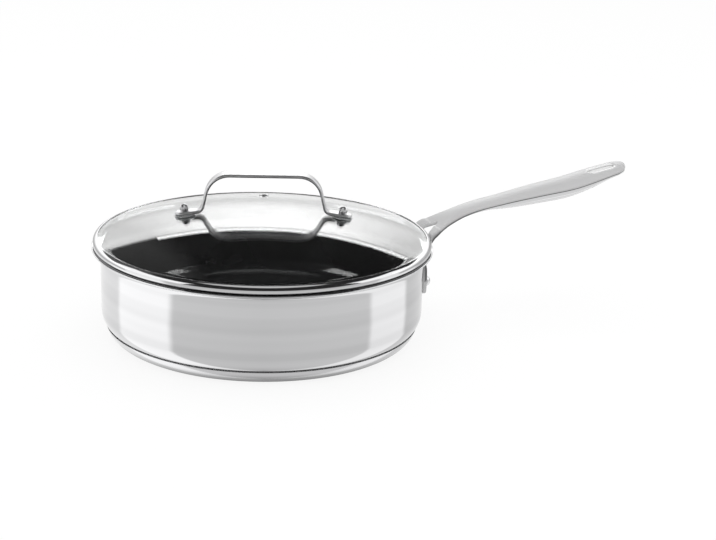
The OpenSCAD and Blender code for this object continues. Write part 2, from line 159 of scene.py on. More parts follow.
# %% Directions in the room
studio = bpy.data.worlds.new("studio")
studio.use_nodes = True
studio.cycles.sampling_method = "NONE"
scene.world = studio
room = studio.node_tree
room.nodes.clear()
facing = put(room, "Mapping", {"Vector": put(room, "TexCoord"), "Rotation": (0, 0, -FACING)})
split = room.nodes.new("ShaderNodeSeparateXYZ")
room.links.new(facing, split.inputs[0])
x, y, z = split.outputs
turn = maths(room, "DEGREES", maths(room, "ARCTAN2", x, times(room, y, -1)))
back_turn = maths(room, "DEGREES", maths(room, "ARCTAN2", x, y))
rise = maths(room, "DEGREES", maths(room, "ARCSINE", z))
off_front = maths(room, "ABSOLUTE", turn)
print("room:", len(room.nodes), "nodes for the directions")

# %% [markdown]
# ## Lower part of the room
# The upright wall of the pan shows what stands round it at table height: a long soft light at
# each side, and a greyer stretch in front and behind. It all ends a little above the level,
# and below the level lies the table, which is slightly brighter. Sharp reflections also show a
# dark skirting behind, which draws a thin dark line along the upper outline of the glass.

# %% Lower part of the room
SHEET_TOP = 27.7
sides = ramp(room, turn, [(-180, 0.98), (-123, 1.1), (-119, 1.5), (-70, 1.47), (-65, 0.87), (0, 0.82),
                          (80.5, 0.87), (84.5, 1.3), (120, 1.3), (125, 0.82), (180, 0.92)], -180, 180)
under = ramp(room, rise, [(-90, 0.8), (-60, 1.0), (-30, 1.04), (-20, 1), (-12, 0.9), (10, 0.9), (14, 0.02)],
             -90, 90)
low = times(room, sides, under, maths(room, "LESS_THAN", rise, SHEET_TOP))
path = room.nodes.new("ShaderNodeLightPath").outputs
skirting = times(room, maths(room, "GREATER_THAN", off_front, 110), maths(room, "COMPARE", rise, -14, 5),
                 path["Is Singular Ray"])
low = times(room, low, maths(room, "SUBTRACT", 1, times(room, skirting, 0.85)))
print("room:", len(room.nodes), "nodes with the lower part")

# %% [markdown]
# ## Sheet behind
# A bright sheet hangs behind the pan, and the glass mirrors it. It darkens to both sides. Its
# upper edge isn't level: it sinks towards the left, and more steeply at the far left, so the
# edge is tested against the rise plus that sag. Just over it lies a narrow, very bright strip.

# %% Sheet behind
slant = times(room, maths(room, "SUBTRACT", 4.5, back_turn), 0.13)
far_left = maths(room, "MAXIMUM", times(room, maths(room, "SUBTRACT", -10, back_turn), 0.12), 0)
sag = maths(room, "MINIMUM", maths(room, "ADD", maths(room, "MAXIMUM", slant, 0.7), far_left), 4.4)
bent = maths(room, "ADD", rise, sag)
sheet = ramp(room, bent, [(-8, 0.9), (0, 0.95), (6, 1.1), (13.5, 2.1), (21, 2.85), (24, 3.5), (26.7, 3.5),
                          (27.0, 1.5), (27.5, 1.5), (SHEET_TOP, 0.02)], -90, 90)
fall = times(room, maths(room, "SUBTRACT", 3.2, back_turn), back_turn, 0.0019)
fall = maths(room, "MAXIMUM", maths(room, "ADD", 1.03, fall), 0.62)
sheet = times(room, sheet, fall)
behind = times(room, maths(room, "GREATER_THAN", off_front, 100), maths(room, "GREATER_THAN", rise, -8))
strip = times(room, maths(room, "COMPARE", back_turn, 3.5, 16.5), maths(room, "COMPARE", bent, 28.2, 0.6), 4)
print("room:", len(room.nodes), "nodes with the sheet")

# %% [markdown]
# ## Side lights and ceiling
# Two large lights stand high at the left and the right. Seen through the glass they make the
# soft arcs on the dark coating, so they are stronger for rays that have passed the glass.
# Overhead it is dark, apart from a pale patch straight above and a faint haze behind on the
# left.

# %% Side lights and ceiling
boxes = maths(room, "ADD", maths(room, "COMPARE", turn, -88, 34), maths(room, "COMPARE", turn, 96, 29))
inside = maths(room, "GREATER_THAN", path["Transmission Depth"], 0.5)
strength = maths(room, "ADD", 1.5, times(room, inside, 4.95))
boxes = times(room, boxes, maths(room, "COMPARE", rise, 27, 15), strength)
ceiling = ramp(room, rise, [(-90, 0.03), (67, 0.03), (71, 0.75), (90, 0.75)], -90, 90)
left_haze = times(room, stretch(room, times(room, back_turn, -1), 11, 15, 0, 0.1), behind,
                  maths(room, "LESS_THAN", rise, 50))
ceiling = maths(room, "ADD", ceiling, left_haze)
print("room:", len(room.nodes), "nodes with the lights")

# %% [markdown]
# ## Room joined
# The brightest thing in a direction wins. The camera sees plain white, also straight through
# the glass, and light that has bounced off a matt surface finds an even pale room.

# %% Room joined
seen = put(room, "Mix", {"Factor": behind, "A": low, "B": sheet})
for light in (ceiling, strip, boxes):
    seen = maths(room, "MAXIMUM", seen, light)
bounces = maths(room, "SUBTRACT", path["Ray Depth"], path["Transmission Depth"])
straight = maths(room, "MAXIMUM", maths(room, "LESS_THAN", bounces, 0.5), path["Is Camera Ray"])
scattered = maths(room, "GREATER_THAN", path["Diffuse Depth"], 0.5)
seen = put(room, "Mix", {"Factor": scattered, "A": seen, "B": 0.8})
seen = put(room, "Mix", {"Factor": straight, "A": seen, "B": 1.0})
glow = put(room, "Background", {"Color": (1, 1, 1, 1), "Strength": seen})
put(room, "OutputWorld", {"Surface": glow})
print("room joined from", len(room.nodes), "nodes")

# %% [markdown]
# ## Floor and lamp
# The pan stands on a plain white floor. The camera sees it almost as pure white, with a trace
# of the real shading, which keeps the soft shadow. Mirror rays pass it, so that steel shows
# the drawn room, except close under the base, where a dim disc, a painted shadow set a little
# towards the camera's side, stands in for the pan's own shadow in the steel.

# %% Floor paint
def floor_paint():
    paint, tree, matt = blank("floor_white")
    coords = put(tree, "TexCoord", out=3)
    speck = put(tree, "TexNoise", {"Vector": coords, "Scale": 3})
    shade = colours(tree, speck, (0.94, 0.94, 0.94, 1), (0.96, 0.96, 0.96, 1))
    feed(tree, matt, {"Roughness": 0.9, "Specular IOR Level": 0, "Base Color": shade})
    eye = tree.nodes.new("ShaderNodeLightPath").outputs
    in_view = maths(tree, "MAXIMUM", eye["Is Camera Ray"], eye["Is Transmission Ray"])
    white = put(tree, "Emission", {"Strength": 1.0})
    plain = put(tree, "MixShader", {0: times(tree, in_view, 0.88), 1: matt.outputs[0], 2: white})
    spot = put(tree, "VectorMath", {0: coords, 1: (0.0021, 0.0077, 0)}, operation="ADD")
    far = put(tree, "VectorMath", {0: spot}, out=1, operation="LENGTH")
    # Painted shadow: a dim disc under the base, which only mirror rays see.
    painted_shadow = put(tree, "Emission", {"Strength": 0.1})
    clear = put(tree, "BsdfTransparent")
    gone = put(tree, "MixShader", {0: stretch(tree, far, 0.104, 0.12), 1: painted_shadow, 2: clear})
    mirror = times(tree, eye["Is Glossy Ray"], maths(tree, "SUBTRACT", 1, eye["Is Transmission Ray"]))
    seen = put(tree, "MixShader", {0: mirror, 1: plain, 2: gone})
    feed(tree, tree.nodes["Material Output"], {"Surface": seen})
    return paint


# %% Floor and lamp
def new_object(name, data):
    made = bpy.data.objects.new(name, data)
    scene.collection.objects.link(made)
    return made


bm = bmesh.new()
bmesh.ops.create_grid(bm, x_segments=4, y_segments=4, size=8)
mesh = bpy.data.meshes.new("floor")
bm.to_mesh(mesh)
bm.free()
mesh.materials.append(floor_paint())
floor = new_object("floor", mesh)
lamp = bpy.data.lights.new("overhead", "AREA")
lamp.shape, lamp.size, lamp.size_y, lamp.energy = "RECTANGLE", 2.6, 2.6, 26
overhead = new_object("overhead", lamp)
overhead.matrix_world = Matrix.Translation((0, 0.3, 2.4))
overhead.visible_glossy = overhead.visible_camera = overhead.visible_transmission = False
print("floor", tuple(round(v) for v in floor.dimensions), "m; lamp", lamp.energy, "W")

# %% [markdown]
# ## Turned parts
# Walls, rims, rings, nuts and screws are all round. On a lathe, or in a spinning press, such a
# part is one outline carried round its axis. An outline is drawn here from points and arcs,
# and an arc is itself a small spin of the last point round the arc's centre. Then the outline
# is spun a full turn. The texture map keeps the turn and the length along the outline, so
# that a finish can follow the direction in which the steel was drawn or polished.

# %% Outline of a turned part
def trace(steps):
    """steps: (x, z) is a point, and (x, z, degrees) is an arc round that centre."""
    bm = bmesh.new()
    run = bm.verts.layers.float.new("run")
    tip = None
    for step in steps:
        if len(step) == 2:
            new = bm.verts.new((step[0] * MM, 0, step[1] * MM))
            if tip:
                bm.edges.new((tip, new))
            tip = new
        else:
            centre = Vector((step[0], 0, step[1])) * MM
            bend = math.radians(step[2])
            length = abs(bend) * (tip.co - centre).length / MM
            spun = bmesh.ops.spin(bm, geom=[tip], cent=centre, axis=(0, -1, 0), angle=bend,
                                  steps=math.ceil(max(abs(step[2]) / 9, length / 4)))
            tip = [part for part in spun["geom_last"] if isinstance(part, bmesh.types.BMVert)][0]
    points = bm.verts[:]
    for before, after in zip(points, points[1:]):
        after[run] = before[run] + (after.co - before.co).length
    return bm


# %% Full turn of an outline
def lathe(steps, around=256):
    bm = trace(steps)
    bmesh.ops.spin(bm, geom=bm.verts[:] + bm.edges[:], cent=(0, 0, 0), axis=(0, 0, 1), angle=math.tau,
                   steps=around, use_merge=True)
    run, uv = bm.verts.layers.float["run"], bm.loops.layers.uv.new("UVMap")
    for face in bm.faces:
        middle = face.calc_center_median()
        middle = math.atan2(middle.y, middle.x)
        for loop in face.loops:
            at = loop.vert.co
            angle = math.atan2(at.y, at.x) if at.xy.length > 1e-7 else middle
            angle = middle + (angle - middle + math.pi) % math.tau - math.pi
            loop[uv].uv = (angle / math.tau, loop.vert[run])
    bmesh.ops.remove_doubles(bm, verts=bm.verts, dist=1e-6)
    bmesh.ops.recalc_face_normals(bm, faces=bm.faces)
    return bm


# %% [markdown]
# ## From mesh to piece
# Each mesh becomes an object at the origin, rides on the pan or on the lid, and stands for
# its CAD node. Edges that turn more than a set angle stay sharp, and the rest shade smoothly.

# %% Helpers for pieces
def soften(mesh, sharp=38):
    mesh.shade_smooth()
    mesh.set_sharp_from_angle(angle=math.radians(sharp))


def finish_piece(name, bm, material, body, node, sharp=38):
    gaps = sum(edge.is_boundary for edge in bm.edges)
    mesh = bpy.data.meshes.new(name)
    bm.to_mesh(mesh)
    bm.free()
    mesh.materials.append(material)
    soften(mesh, sharp)
    piece = new_object(name, mesh)
    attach(piece, body)
    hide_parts(node)
    size = [round(v / MM, 1) for v in piece.dimensions]
    print(f"{name}: {len(mesh.polygons)} faces, {gaps} open edges, {size} mm")
    return piece


# %% [markdown]
# ## Steel finishes
# All the steel here is the same metal, and only its polish differs. The wall is bright with a
# faint grain drawn round it, the grip is brushed along its length, and small parts are nearly
# mirrors. One function makes them all: a stretched noise is the grain, which changes both the
# roughness and, very slightly, the height of the surface, and a large soft noise is the wear.
# The wall also has rings, faint rises and falls that the spinning tool left up its height.

# %% Helper for steel
STEEL = (0.62, 0.62, 0.627)
WEAR = 0.03


def steel(name, colour, rough, spread, grain, relief=0.02, follow="Object", drawn=0.0, rings=0.0):
    """grain: how fine the scratches are along each axis; drawn: how far they stretch a reflection."""
    metal, tree, shader = blank(name)
    coords = tree.nodes.new("ShaderNodeTexCoord").outputs
    scratch = put(tree, "Mapping", {"Vector": coords[follow], "Scale": grain})
    scratch = put(tree, "TexNoise", {"Vector": scratch, "Scale": 1, "Detail": 4, "Roughness": 0.6})
    cloud = put(tree, "TexNoise", {"Vector": coords["Object"], "Scale": 22, "Detail": 2})
    mixed = maths(tree, "ADD", times(tree, scratch, 0.75), times(tree, cloud, 0.25))
    worn = [channel * (1 - WEAR) for channel in colour]
    shade = colours(tree, mixed, worn + [1], list(colour) + [1])
    slight = put(tree, "Bump", {"Height": scratch, "Strength": relief, "Distance": 0.0002})
    if rings:
        height = put(tree, "Mapping", {"Vector": coords["Object"], "Scale": (0, 0, 60)})
        height = put(tree, "TexNoise", {"Vector": height, "Scale": 1, "Detail": 1})
        slight = put(tree, "Bump", {"Height": height, "Strength": 1, "Distance": rings, "Normal": slight})
        tone = stretch(tree, height, 0.35, 0.6, 0.9, 1.04)
        shade = put(tree, "VectorMath", {0: shade, 3: tone}, operation="SCALE")
    feed(tree, shader, {"Metallic": 1, "Anisotropic": drawn, "Anisotropic Rotation": 0.25,
                        "Base Color": shade, "Normal": slight,
                        "Roughness": stretch(tree, mixed, 0.3, 0.7, rough - spread, rough + spread)})
    if drawn:
        feed(tree, shader, {"Tangent": put(tree, "Tangent", direction_type="UV_MAP", uv_map="UVMap")})
    return metal


# %% [markdown]
# ## Pan body
# The body is one pressed steel sheet, 1.2 mm thick: a flat floor, a 16 mm corner, an upright
# wall and a lip that rolls outwards so that it pours cleanly. Its outline goes up the outside,
# round the rolled edge and down the inside, and the spin closes it.

# %% Pan body
wall_finish = steel("wall_steel", STEEL, 0.085, 0.02, (2, 2, 1400), relief=0.006, drawn=0.3, rings=0.0001)
body = lathe([(0, 6.2), (112, 6.2), (112, 22.2, 90), (128, 40), (128, 65.6), (134.4, 65.6, -90),
              (134.4, 72.6, 180), (134.4, 65.6, 90), (126.8, 22.2), (112, 22.2, -90), (0, 7.4)])
finish_piece("pan_body", body, wall_finish, "pan", "pan_shell")

# %% [markdown]
# ## Non-stick coating
# A dark grey coat covers the floor and the inner wall up to the lip. It is sprayed on and
# baked, which leaves it satin with a very fine texture. It is drawn as its own thin skin, so
# that its edge shows at the lip.

# %% Coating
def coating():
    skin, tree, shader = blank("nonstick_coat")
    coords = put(tree, "TexCoord", out=3)
    fine = put(tree, "TexNoise", {"Vector": coords, "Scale": 1800, "Detail": 2})
    wide = put(tree, "TexNoise", {"Vector": coords, "Scale": 18, "Detail": 3})
    feed(tree, shader, {"Base Color": colours(tree, wide, (0.014, 0.014, 0.015, 1), (0.02, 0.02, 0.021, 1)),
                        "Roughness": stretch(tree, wide, 0, 1, 0.1, 0.13), "Specular IOR Level": 0.6,
                        "Normal": put(tree, "Bump", {"Height": fine, "Strength": 0.12, "Distance": 0.0001})})
    return skin


skin = lathe([(0, 7.4), (112, 7.4), (112, 22.2, 90), (126.8, 65.6), (134.4, 65.6, -85.47), (133.8, 73.477),
              (134.4, 65.6, 85.64), (126.5, 22.2), (112, 22.2, -90), (0, 7.7)])
finish_piece("nonstick_coat", skin, coating(), "pan", "nonstick_lining")

# %% [markdown]
# ## Base
# A thick aluminium plate under the floor spreads the heat. A steel cap closes it, with a flat
# underside and a 14 mm round that ends against the wall, where a thin dark seam shows. The
# plate keeps its CAD shape, because the cap hides it, and gets an aluminium finish.

# %% Base cap and core
base_finish = steel("base_steel", (0.6, 0.6, 0.607), 0.16, 0.04, (2, 2, 1400), relief=0.01, drawn=0.4)
cap = lathe([(0, 0.35), (5, 0.35), (8, 0), (111.03, 0), (111.03, 14, 78.3), (124.62, 11.18, 75),
             (124.15, 10.6), (111.03, 14, -76), (0, 0.9)])
finish_piece("base_cap_sheet", cap, base_finish, "pan", "base_cap")
core_metal = steel("core_aluminium", (0.72, 0.73, 0.74), 0.45, 0.05, (300, 300, 300))
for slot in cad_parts["heat_core"].material_slots:
    slot.material = core_metal
print("the core keeps its CAD mesh")

# %% [markdown]
# ## Places on the lid
# The lid is a shallow dome of 3.4 mm toughened glass. Its two faces are parts of two balls
# round one centre far below. A place on it is therefore two turns, one round the lid's middle
# and one away from it, and the small parts are made upright and carried there.

# %% Places on the dome
DOME_FOOT, DOME_TOP = -345.56, 445.06


def on_dome(turn, tilt):
    """A place on the upper face, with its Z pointing straight out of the glass."""
    return (Matrix.Rotation(FACING + math.radians(turn), 4, "Z") @ Matrix.Translation((0, 0, DOME_FOOT * MM))
            @ Matrix.Rotation(math.radians(tilt), 4, "Y") @ Matrix.Translation((0, 0, DOME_TOP * MM)))


def copies(bm, places):
    """Carries the mesh to the first place, and a copy of it to each other place."""
    parts = bm.verts[:] + bm.edges[:] + bm.faces[:]
    for spot in places[1:]:
        made = bmesh.ops.duplicate(bm, geom=parts)["geom"]
        bmesh.ops.transform(bm, matrix=spot, verts=[v for v in made if isinstance(v, bmesh.types.BMVert)])
    bmesh.ops.transform(bm, matrix=places[0], verts=[v for v in parts if isinstance(v, bmesh.types.BMVert)])
    return bm


SCREWS = [on_dome(0, 8.008), on_dome(180, 8.008)]
VENT = [on_dome(90, 8.53)]
print("screws at", [[round(v / MM, 1) for v in spot.translation] for spot in SCREWS], "mm")

# %% [markdown]
# ## Lid glass
# The outline of the dome is two long arcs and a short edge. Clear glass looks dark where it
# is seen along its face, so a dark tint comes in there. Its shadow is light, which a
# transparent shader does for shadow rays. The bores for the screws and the steam vent are
# cut afterwards by a Boolean modifier.

# %% Glass
def glass():
    clear, tree, shader = blank("clear_glass")
    haze = put(tree, "TexNoise", {"Vector": put(tree, "TexCoord", out=3), "Scale": 30, "Detail": 3})
    tint = colours(tree, haze, (0.965, 0.975, 0.972, 1), (0.98, 0.988, 0.985, 1))
    along = stretch(tree, put(tree, "LayerWeight", {"Blend": 0.5}, out=1), 0.9, 0.97, 0, 0.8)
    tint = colours(tree, along, tint, (0.12, 0.13, 0.13, 1))
    feed(tree, shader, {"Transmission Weight": 1, "IOR": 1.5, "Roughness": 0, "Base Color": tint})
    shadow = tree.nodes.new("ShaderNodeLightPath").outputs["Is Shadow Ray"]
    pale = put(tree, "BsdfTransparent", {"Color": (0.9, 0.92, 0.91, 1)})
    both = put(tree, "MixShader", {0: shadow, 1: shader.outputs[0], 2: pale})
    feed(tree, tree.nodes["Material Output"], {"Surface": both})
    return clear


dome = lathe([(0, 99.5), (0, DOME_FOOT, -17), (131.7, 79.05), (132.65, 77.7), (133.1, 76.3), (133.1, 75.7),
              (132.68, 75.7), (0, DOME_FOOT, 17.482)])
lid_glass = finish_piece("dome_glass", dome, glass(), "lid", "lid_glass")

# %% Bores through the glass
def cutter(name, radius, places):
    bm = lathe([(0, -6), (radius, -6), (radius, 3), (0, 3)], 48)
    mesh = bpy.data.meshes.new(name)
    copies(bm, places).to_mesh(mesh)
    bm.free()
    return new_object(name, mesh)


tools = [cutter("screw_bore", 2.5, SCREWS), cutter("vent_bore", 2.9, VENT)]
for tool in tools:
    cut = lid_glass.modifiers.new(tool.name, "BOOLEAN")
    cut.object, cut.solver = tool, "EXACT"
bpy.context.view_layer.update()
pierced = bpy.data.meshes.new_from_object(lid_glass.evaluated_get(bpy.context.evaluated_depsgraph_get()))
lid_glass.modifiers.clear()
lid_glass.data = pierced
for tool in tools:
    bpy.data.objects.remove(tool)
soften(pierced)
print("glass with bores:", len(pierced.polygons), "faces")

# %% [markdown]
# ## Rim band
# A folded steel band wraps the glass edge. From the inside out, it laps 2.5 mm over the glass,
# turns down as an upright wall, steps in to the ring that rests on the pan's lip, and ends in
# a skirt that keeps the lid centred. Its sheet is 0.6 mm thick, so the fold has small rounds.

# %% Band
band_finish = steel("band_steel", STEEL, 0.1, 0.02, (2, 2, 1600), relief=0.006)
band = lathe([(130.3, 80.0), (130.375, 80.29, -180), (129.5, 76.16, -77.7), (134, 75.5), (133.6, 75.5, -90),
              (131.7, 75.1), (131.7, 73.43), (131.3, 73.43, -90), (125.7, 73.03), (125.7, 67.33),
              (125.4, 67.33, -180), (125.1, 73.63), (131.1, 73.63), (131.1, 75.7), (133.4, 75.7),
              (133.4, 76.16), (129.5, 76.16, 75), (130.3, 80.0)])
finish_piece("rim_band", band, band_finish, "lid", "lid_band")

# %% [markdown]
# ## Flat strips
# The lid's strap and the long handle are strips with a changing width, bent along a line. A
# strip is laid out flat first: a grid whose rows run along it and whose columns run across
# one half, from a hole's edge (or the middle) to the outer edge. The half is mirrored and
# given thickness. Columns crowd at the edges, where the two faces sink in a quarter round,
# and where the outline slants they spread in proportion, so that the round keeps its size.

# %% Flat strip
ROUND_COLUMNS = [1 - math.cos(math.radians(angle)) for angle in (0, 22.5, 45, 67.5, 90)]
HALF_COLUMNS = 2 * len(ROUND_COLUMNS) + 2
UNDER_SHIFT = 6                         # mm, keeps the two faces apart on the texture map


def row_leans(rows):
    """How far the round is stretched in each row by the slant of the outline."""
    leans = []
    for i in range(len(rows)):
        a, b = rows[max(i - 1, 0)], rows[min(i + 1, len(rows) - 1)]
        run = max(abs(b[0] - a[0]), 0.02)
        leans.append(min(math.hypot(1, (b[2] - a[2]) / run), 8))
    return leans


def row_columns(hole, half, lean, rim, edge):
    """Where the columns lie across one half of a row: close, wide, close."""
    near_hole, near_edge = ([min(depth * share * lean, 0.4 * (half - hole) * k / 4)
                             for k, share in enumerate(ROUND_COLUMNS)] for depth in (rim, edge))
    return ([hole + inset for inset in near_hole] + [hole + (half - hole) * s for s in (0.45, 0.55)]
            + [half - inset for inset in reversed(near_edge)])


def flat_strip(rows, leans, rim, edge):
    """Gives the mesh and the points of its lower face. Each point keeps its row's number."""
    bm = bmesh.new()
    row = bm.verts.layers.int.new("row")
    for name in ("seam", "hole_glint"):
        bm.verts.layers.float.new(name)
    bmesh.ops.create_grid(bm, x_segments=len(rows) - 1, y_segments=HALF_COLUMNS - 1, size=0.5)
    for vert in bm.verts:
        i, j = round((vert.co.x + 0.5) * (len(rows) - 1)), round((vert.co.y + 0.5) * (HALF_COLUMNS - 1))
        vert.co = (i, row_columns(rows[i][1], rows[i][2], leans[i], rim, edge)[j], 0)
        vert[row] = i
    bmesh.ops.mirror(bm, geom=bm.verts[:] + bm.edges[:] + bm.faces[:], axis="Y", merge_dist=1e-5)
    bmesh.ops.remove_doubles(bm, verts=bm.verts, dist=1e-6)
    bmesh.ops.recalc_face_normals(bm, faces=bm.faces)
    under = bmesh.ops.extrude_face_region(bm, geom=bm.faces[:])["geom"]
    under = {part for part in under if isinstance(part, bmesh.types.BMVert)}
    uv = bm.loops.layers.uv.new("UVMap")
    for face in bm.faces:
        for loop in face.loops:
            y = loop.vert.co.y
            shift = UNDER_SHIFT if loop.vert in under else 0
            loop[uv].uv = (rows[loop.vert[row]][0] * MM, (y + math.copysign(shift, y)) * MM)
    return bm, under


# %% [markdown]
# ## Bent strips
# Only now is every point of the flat strip carried to its place on the bent shape. On the way
# each point gets two values that the finishes use later. "seam" marks the edge of the lower
# face past the flange's middle, where painted shade draws the dark gap under the lip and under
# the grip, and "hole_glint" marks the edge of a hole, where a painted highlight goes.

# %% Bent strip
# The painted edge shade starts 46 mm along the handle: on the flange under the lip, on the arms and under the
# grip.
EDGE_SHADE_FROM, SLOT_FROM = 46, 200          # mm along the handle: the seam and the slot lie past these


def strip_piece(rows, edge, put_point, rim=None):
    """rows: (station, hole's half width, half width). put_point gives a point in mm."""
    rim = rim or edge
    leans = row_leans(rows)
    bm, under = flat_strip(rows, leans, rim, edge)
    row = bm.verts.layers.int["row"]
    seam, hole_glint = (bm.verts.layers.float[name] for name in ("seam", "hole_glint"))
    for vert in bm.verts:
        station, hole, half = rows[vert[row]]
        y, lower, at_slot = vert.co.y, vert in under, station > SLOT_FROM
        depth = min((half - abs(y)) / leans[vert[row]], edge)
        # Painted shade: the lower face's edge is marked dark, standing in for the shadow in the gap under the
        # lip and the grip.
        vert[seam] = max(1 - depth / edge, 0) if lower and station > EDGE_SHADE_FROM else 0
        # Painted highlight: near the edge of a hole the colour turns pale, on the upper face and all through
        # the slot.
        lit = hole and (at_slot or not lower)
        vert[hole_glint] = max(1 - (abs(y) - hole) / (rim if at_slot else edge), 0) if lit else 0
        vert.co = Vector(put_point(station, y, lower, depth)) * MM
    bmesh.ops.remove_doubles(bm, verts=bm.verts, dist=1e-6)
    bmesh.ops.recalc_face_normals(bm, faces=bm.faces)
    return bm


# %% [markdown]
# ## Curves for the strips
# Three small functions shape the strips: the quarter round at an edge, a gentle step from 0
# to 1, and a smooth curve through a list of points.

# %% Helpers for curves
def sink(depth, edge):
    """How far a face has sunk, this deep inside an edge with a quarter round."""
    depth = min(max(depth, 0), edge)
    return edge - math.sqrt(edge * edge - (edge - depth) ** 2)


def ease(share):
    share = min(max(share, 0), 1)
    return share * share * (3 - 2 * share)


def smooth(points, at):
    """A smooth curve through the points, read at one place, as the CAD draws the handle."""
    def slope(k):
        a, b = points[max(k - 1, 0)], points[min(k + 1, len(points) - 1)]
        return (b[1] - a[1]) / (b[0] - a[0])

    i = max([k for k in range(len(points) - 1) if points[k][0] <= at] + [0])
    (x0, y0), (x1, y1) = points[i], points[i + 1]
    w, t = x1 - x0, (at - x0) / (x1 - x0)
    return (y0 * (1 + 2 * t) * (1 - t) ** 2 + slope(i) * w * t * (1 - t) ** 2
            + y1 * t * t * (3 - 2 * t) + slope(i + 1) * w * t * t * (t - 1))


# %% [markdown]
# ## Lid strap
# The lid's handle is one strap of 2.5 mm steel with rounded edges. Its feet lie on the glass,
# its legs lean out a little, and its top is straight. The line of the strap is walked in
# short steps: along the top, round the corner, down the leg, round the knee and to the foot.

# %% Line of the strap
BEND_STEPS = 12


def strap_line():
    """Points (x, z) along half the strap, from the middle to the foot, and the way to each."""
    bends = [((0, 129.05), 0), ((41.842, 129.05), 19), ((48.842, 99.28), 6), ((69.74, 96.35), 0)]
    points, line = [Vector(b[0]) for b in bends], [(0.0, 129.05)]
    for k in (1, 2):
        a, b = (points[k - 1] - points[k]).normalized(), (points[k + 1] - points[k]).normalized()
        radius, half = bends[k][1], math.acos(a.dot(b)) / 2
        centre = points[k] + (a + b).normalized() * radius / math.sin(half)
        start, end = points[k] + a * radius / math.tan(half), points[k] + b * radius / math.tan(half)
        first, last = start - centre, end - centre
        sweep = math.atan2(first.x * last.y - first.y * last.x, first.dot(last))
        for step in range(BEND_STEPS + 1):
            turned = Matrix.Rotation(sweep * step / BEND_STEPS, 2) @ first
            line.append(tuple(centre + turned))
    line.append(tuple(points[3]))
    runs = [0.0]
    for a, b in zip(line, line[1:]):
        runs.append(runs[-1] + math.dist(a, b))
    return line, runs


LINE, RUNS = strap_line()
LENGTH = RUNS[-1]


def along_strap(run):
    """The half of the strap (1 or -1), the point (x, z) and the direction out of the upper face."""
    side, run = math.copysign(1, run), min(abs(run), LENGTH)
    k = max(i for i in range(len(RUNS) - 1) if RUNS[i] <= run)
    share = (run - RUNS[k]) / (RUNS[k + 1] - RUNS[k])
    at = Vector(LINE[k]).lerp(Vector(LINE[k + 1]), share)
    ahead = Vector(LINE[min(k + 2, len(LINE) - 1)]) - Vector(LINE[max(k - 1, 0)])
    if share == 0 and 0 < k:
        ahead = Vector(LINE[k + 1]) - Vector(LINE[k - 1])
    return side, at, Vector((-ahead.y, ahead.x)).normalized()


print("strap:", round(2 * LENGTH, 1), "mm along its middle")

# %% Strap
STRAP_MIDDLE = 2.5 / 2
STRAP_EDGE = STRAP_MIDDLE - 0.05
FOOT = 6                                # radius of the round foot
KNEE = 48.84                            # how far the knee is from the middle
STRAP_WIDTH = [(0, 7.8), (0.55, 7.8), (0.8, 7.08), (1, FOOT)]      # share of the way to the knee, half width


def strap_half(run):
    to_end = LENGTH - abs(run)
    if to_end < FOOT:
        return math.sqrt(max(FOOT ** 2 - (FOOT - LENGTH + abs(run)) ** 2, 0))
    return smooth(STRAP_WIDTH, min(along_strap(run)[1].x / KNEE, 1))


def strap_point(run, y, under, depth):
    side, at, out = along_strap(run)
    lift = STRAP_MIDDLE - sink(depth, STRAP_EDGE)
    at = at - out * lift if under else at + out * lift
    return Matrix.Rotation(FACING, 3, "Z") @ Vector((side * at.x, y, at.y))


top_end, leg_start, leg_end = RUNS[1], RUNS[1 + BEND_STEPS], RUNS[2 + BEND_STEPS]
half_runs = sorted(set(RUNS[:-1] + [LENGTH - FOOT * (1 - math.sin(math.radians(a))) for a in range(0, 91, 9)]
                       + [top_end * k / 6 for k in range(1, 6)]
                       + [leg_start + (leg_end - leg_start) * k / 4 for k in range(1, 4)]))
runs = [-r for r in reversed(half_runs[1:])] + half_runs
strap_finish = steel("strap_steel", (0.62, 0.62, 0.626), 0.3, 0.04, (20, 1500, 1), relief=0.006, follow="UV")
strap = strip_piece([(r, 0, strap_half(r)) for r in runs], STRAP_EDGE, strap_point)
finish_piece("lid_strap", strap, strap_finish, "lid", "lid_handle", sharp=50)

# %% [markdown]
# ## Lid fittings
# Each foot of the strap is clamped by a screw from below and a cap nut on top. A clear
# silicone ring sits on each face of the glass, so that the steel never bears on it, and a
# washer spreads the load underneath. The steam vent is a steel eyelet rolled over both faces.
# All of them are small lathe parts, made upright at the middle and set on the tilted glass.

# %% Steel fittings
small_finish = steel("fitting_steel", STEEL, 0.08, 0.02, (400, 400, 400), relief=0.004)


def fitting(name, node, around, outline, material=small_finish, places=SCREWS):
    finish_piece(name, copies(lathe(outline, around), places), material, "lid", node)


fitting("cap_nuts", "lid_cap_nuts", 48,
        [(0, 3.5), (3.1, 3.5), (3.1, 3.7, 90), (3.3, 7.25), (3.1, 7.25, 48), (0, 4.9, 47), (0, 9.1)])
fitting("washers", "lid_washers", 72,
        [(2.2, -4.48), (8, -4.48), (8, -4.73, -90), (8.25, -5.02), (8, -5.02, -90), (2.2, -5.27),
         (2.2, -4.48)])
fitting("lid_screws", "lid_screws", 48,
        [(0, 3.4), (1.95, 3.4), (1.95, -5.28), (3.8, -5.28), (3.8, -5.48, -90), (4, -6.1), (3.0, -6.1, -62),
         (1.9, -7.48), (1.6, -7.2), (0, -7.2)])
fitting("vent_eyelet_ring", "vent_eyelet", 64,
        [(2.2, -3.45), (2.2, 0.05), (2.9, 0.05, -90), (3.75, 0.75), (3.75, 0.4, -180), (2.9, 0.05),
         (2.9, -3.45), (3.75, -3.45), (3.75, -3.8, -180), (2.9, -4.15), (2.9, -3.45, -90)], places=VENT)

